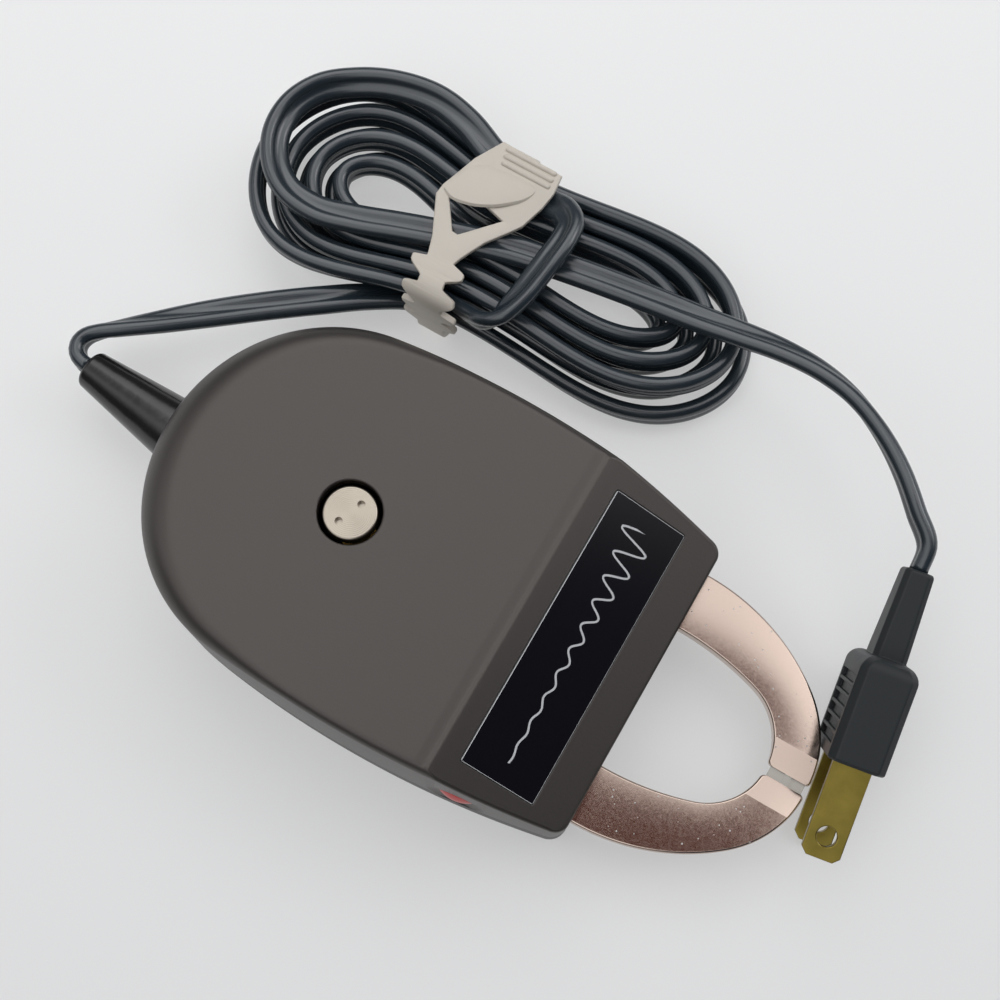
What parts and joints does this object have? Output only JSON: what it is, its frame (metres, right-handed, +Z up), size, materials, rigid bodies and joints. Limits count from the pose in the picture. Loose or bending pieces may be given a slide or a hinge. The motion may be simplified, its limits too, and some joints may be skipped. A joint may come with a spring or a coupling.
{
  "type": "tape head demagnetizer",
  "caption": "Hand-held tape head demagnetizer: egg-shaped moulded case, curved steel pole arms that nearly meet at a gap, red push button on the side, tied flat mains cord and plug.",
  "frame": {"origin": "under the middle of the case, its strain relief and its pole arms, on the flat underside", "axes": "+X along the case to the pole tips, +Y to the side away from the push button, +Z up from the underside"},
  "size_m": [0.154, 0.1067, 0.028],
  "materials": {
    "case": "matte",
    "lower_case": "matte",
    "spun_aluminium": "satin",
    "brass": "satin",
    "label_black": "gloss",
    "pole_steel": "satin",
    "clear_plastic": "satin",
    "core_steel": "satin",
    "zinc_steel": "satin",
    "natural_nylon": "matte",
    "copper_wire": "satin",
    "coil_tape": "satin",
    "red_plastic": "satin",
    "brown_plastic": "matte",
    "wire_black": "satin",
    "wire_red": "satin",
    "tinned_metal": "satin",
    "relief_rubber": "satin",
    "cord_pvc": "satin",
    "tie_ivory": "satin",
    "plug_pvc": "matte",
    "blade_brass": "satin"
  },
  "bodies": {
    "case": {"lower_shell": "lower_case", "upper_shell": "case", "case_screw": "spun_aluminium", "screw_insert": "brass", "label_plate": "label_black", "pole_arm_left": "pole_steel", "pole_arm_right": "pole_steel", "gap_spacer": "clear_plastic", "core_laminations": "core_steel", "pole_screws": "zinc_steel", "coil_bobbin": "natural_nylon", "coil_winding": "copper_wire", "coil_wrap": "coil_tape", "button_spring": "zinc_steel", "switch_block": "brown_plastic", "switch_terminals": "brass", "mains_wires": "wire_black", "coil_leads": "wire_red", "crimp_sleeve": "tinned_metal", "cord_clamp": "lower_case", "clamp_screws": "zinc_steel", "strain_relief": "relief_rubber", "cord_lead_in": "cord_pvc", "cord_hank": "cord_pvc", "cord_lead_out": "cord_pvc", "cord_tie": "tie_ivory", "plug_body": "plug_pvc", "plug_blades": "blade_brass"},
    "button": {"push_button": "red_plastic", "contact_bridge": "brass"}
  },
  "joints": [
    {"name": "button_press", "type": "slide", "parent": "case", "child": "button", "axis": [-0.1219, 0.9925, 0], "range_m": [0, 0.0018], "stiffness_N_per_m": 600, "springref_m": -0.0015, "deforming": ["button_spring"]}
  ]
}
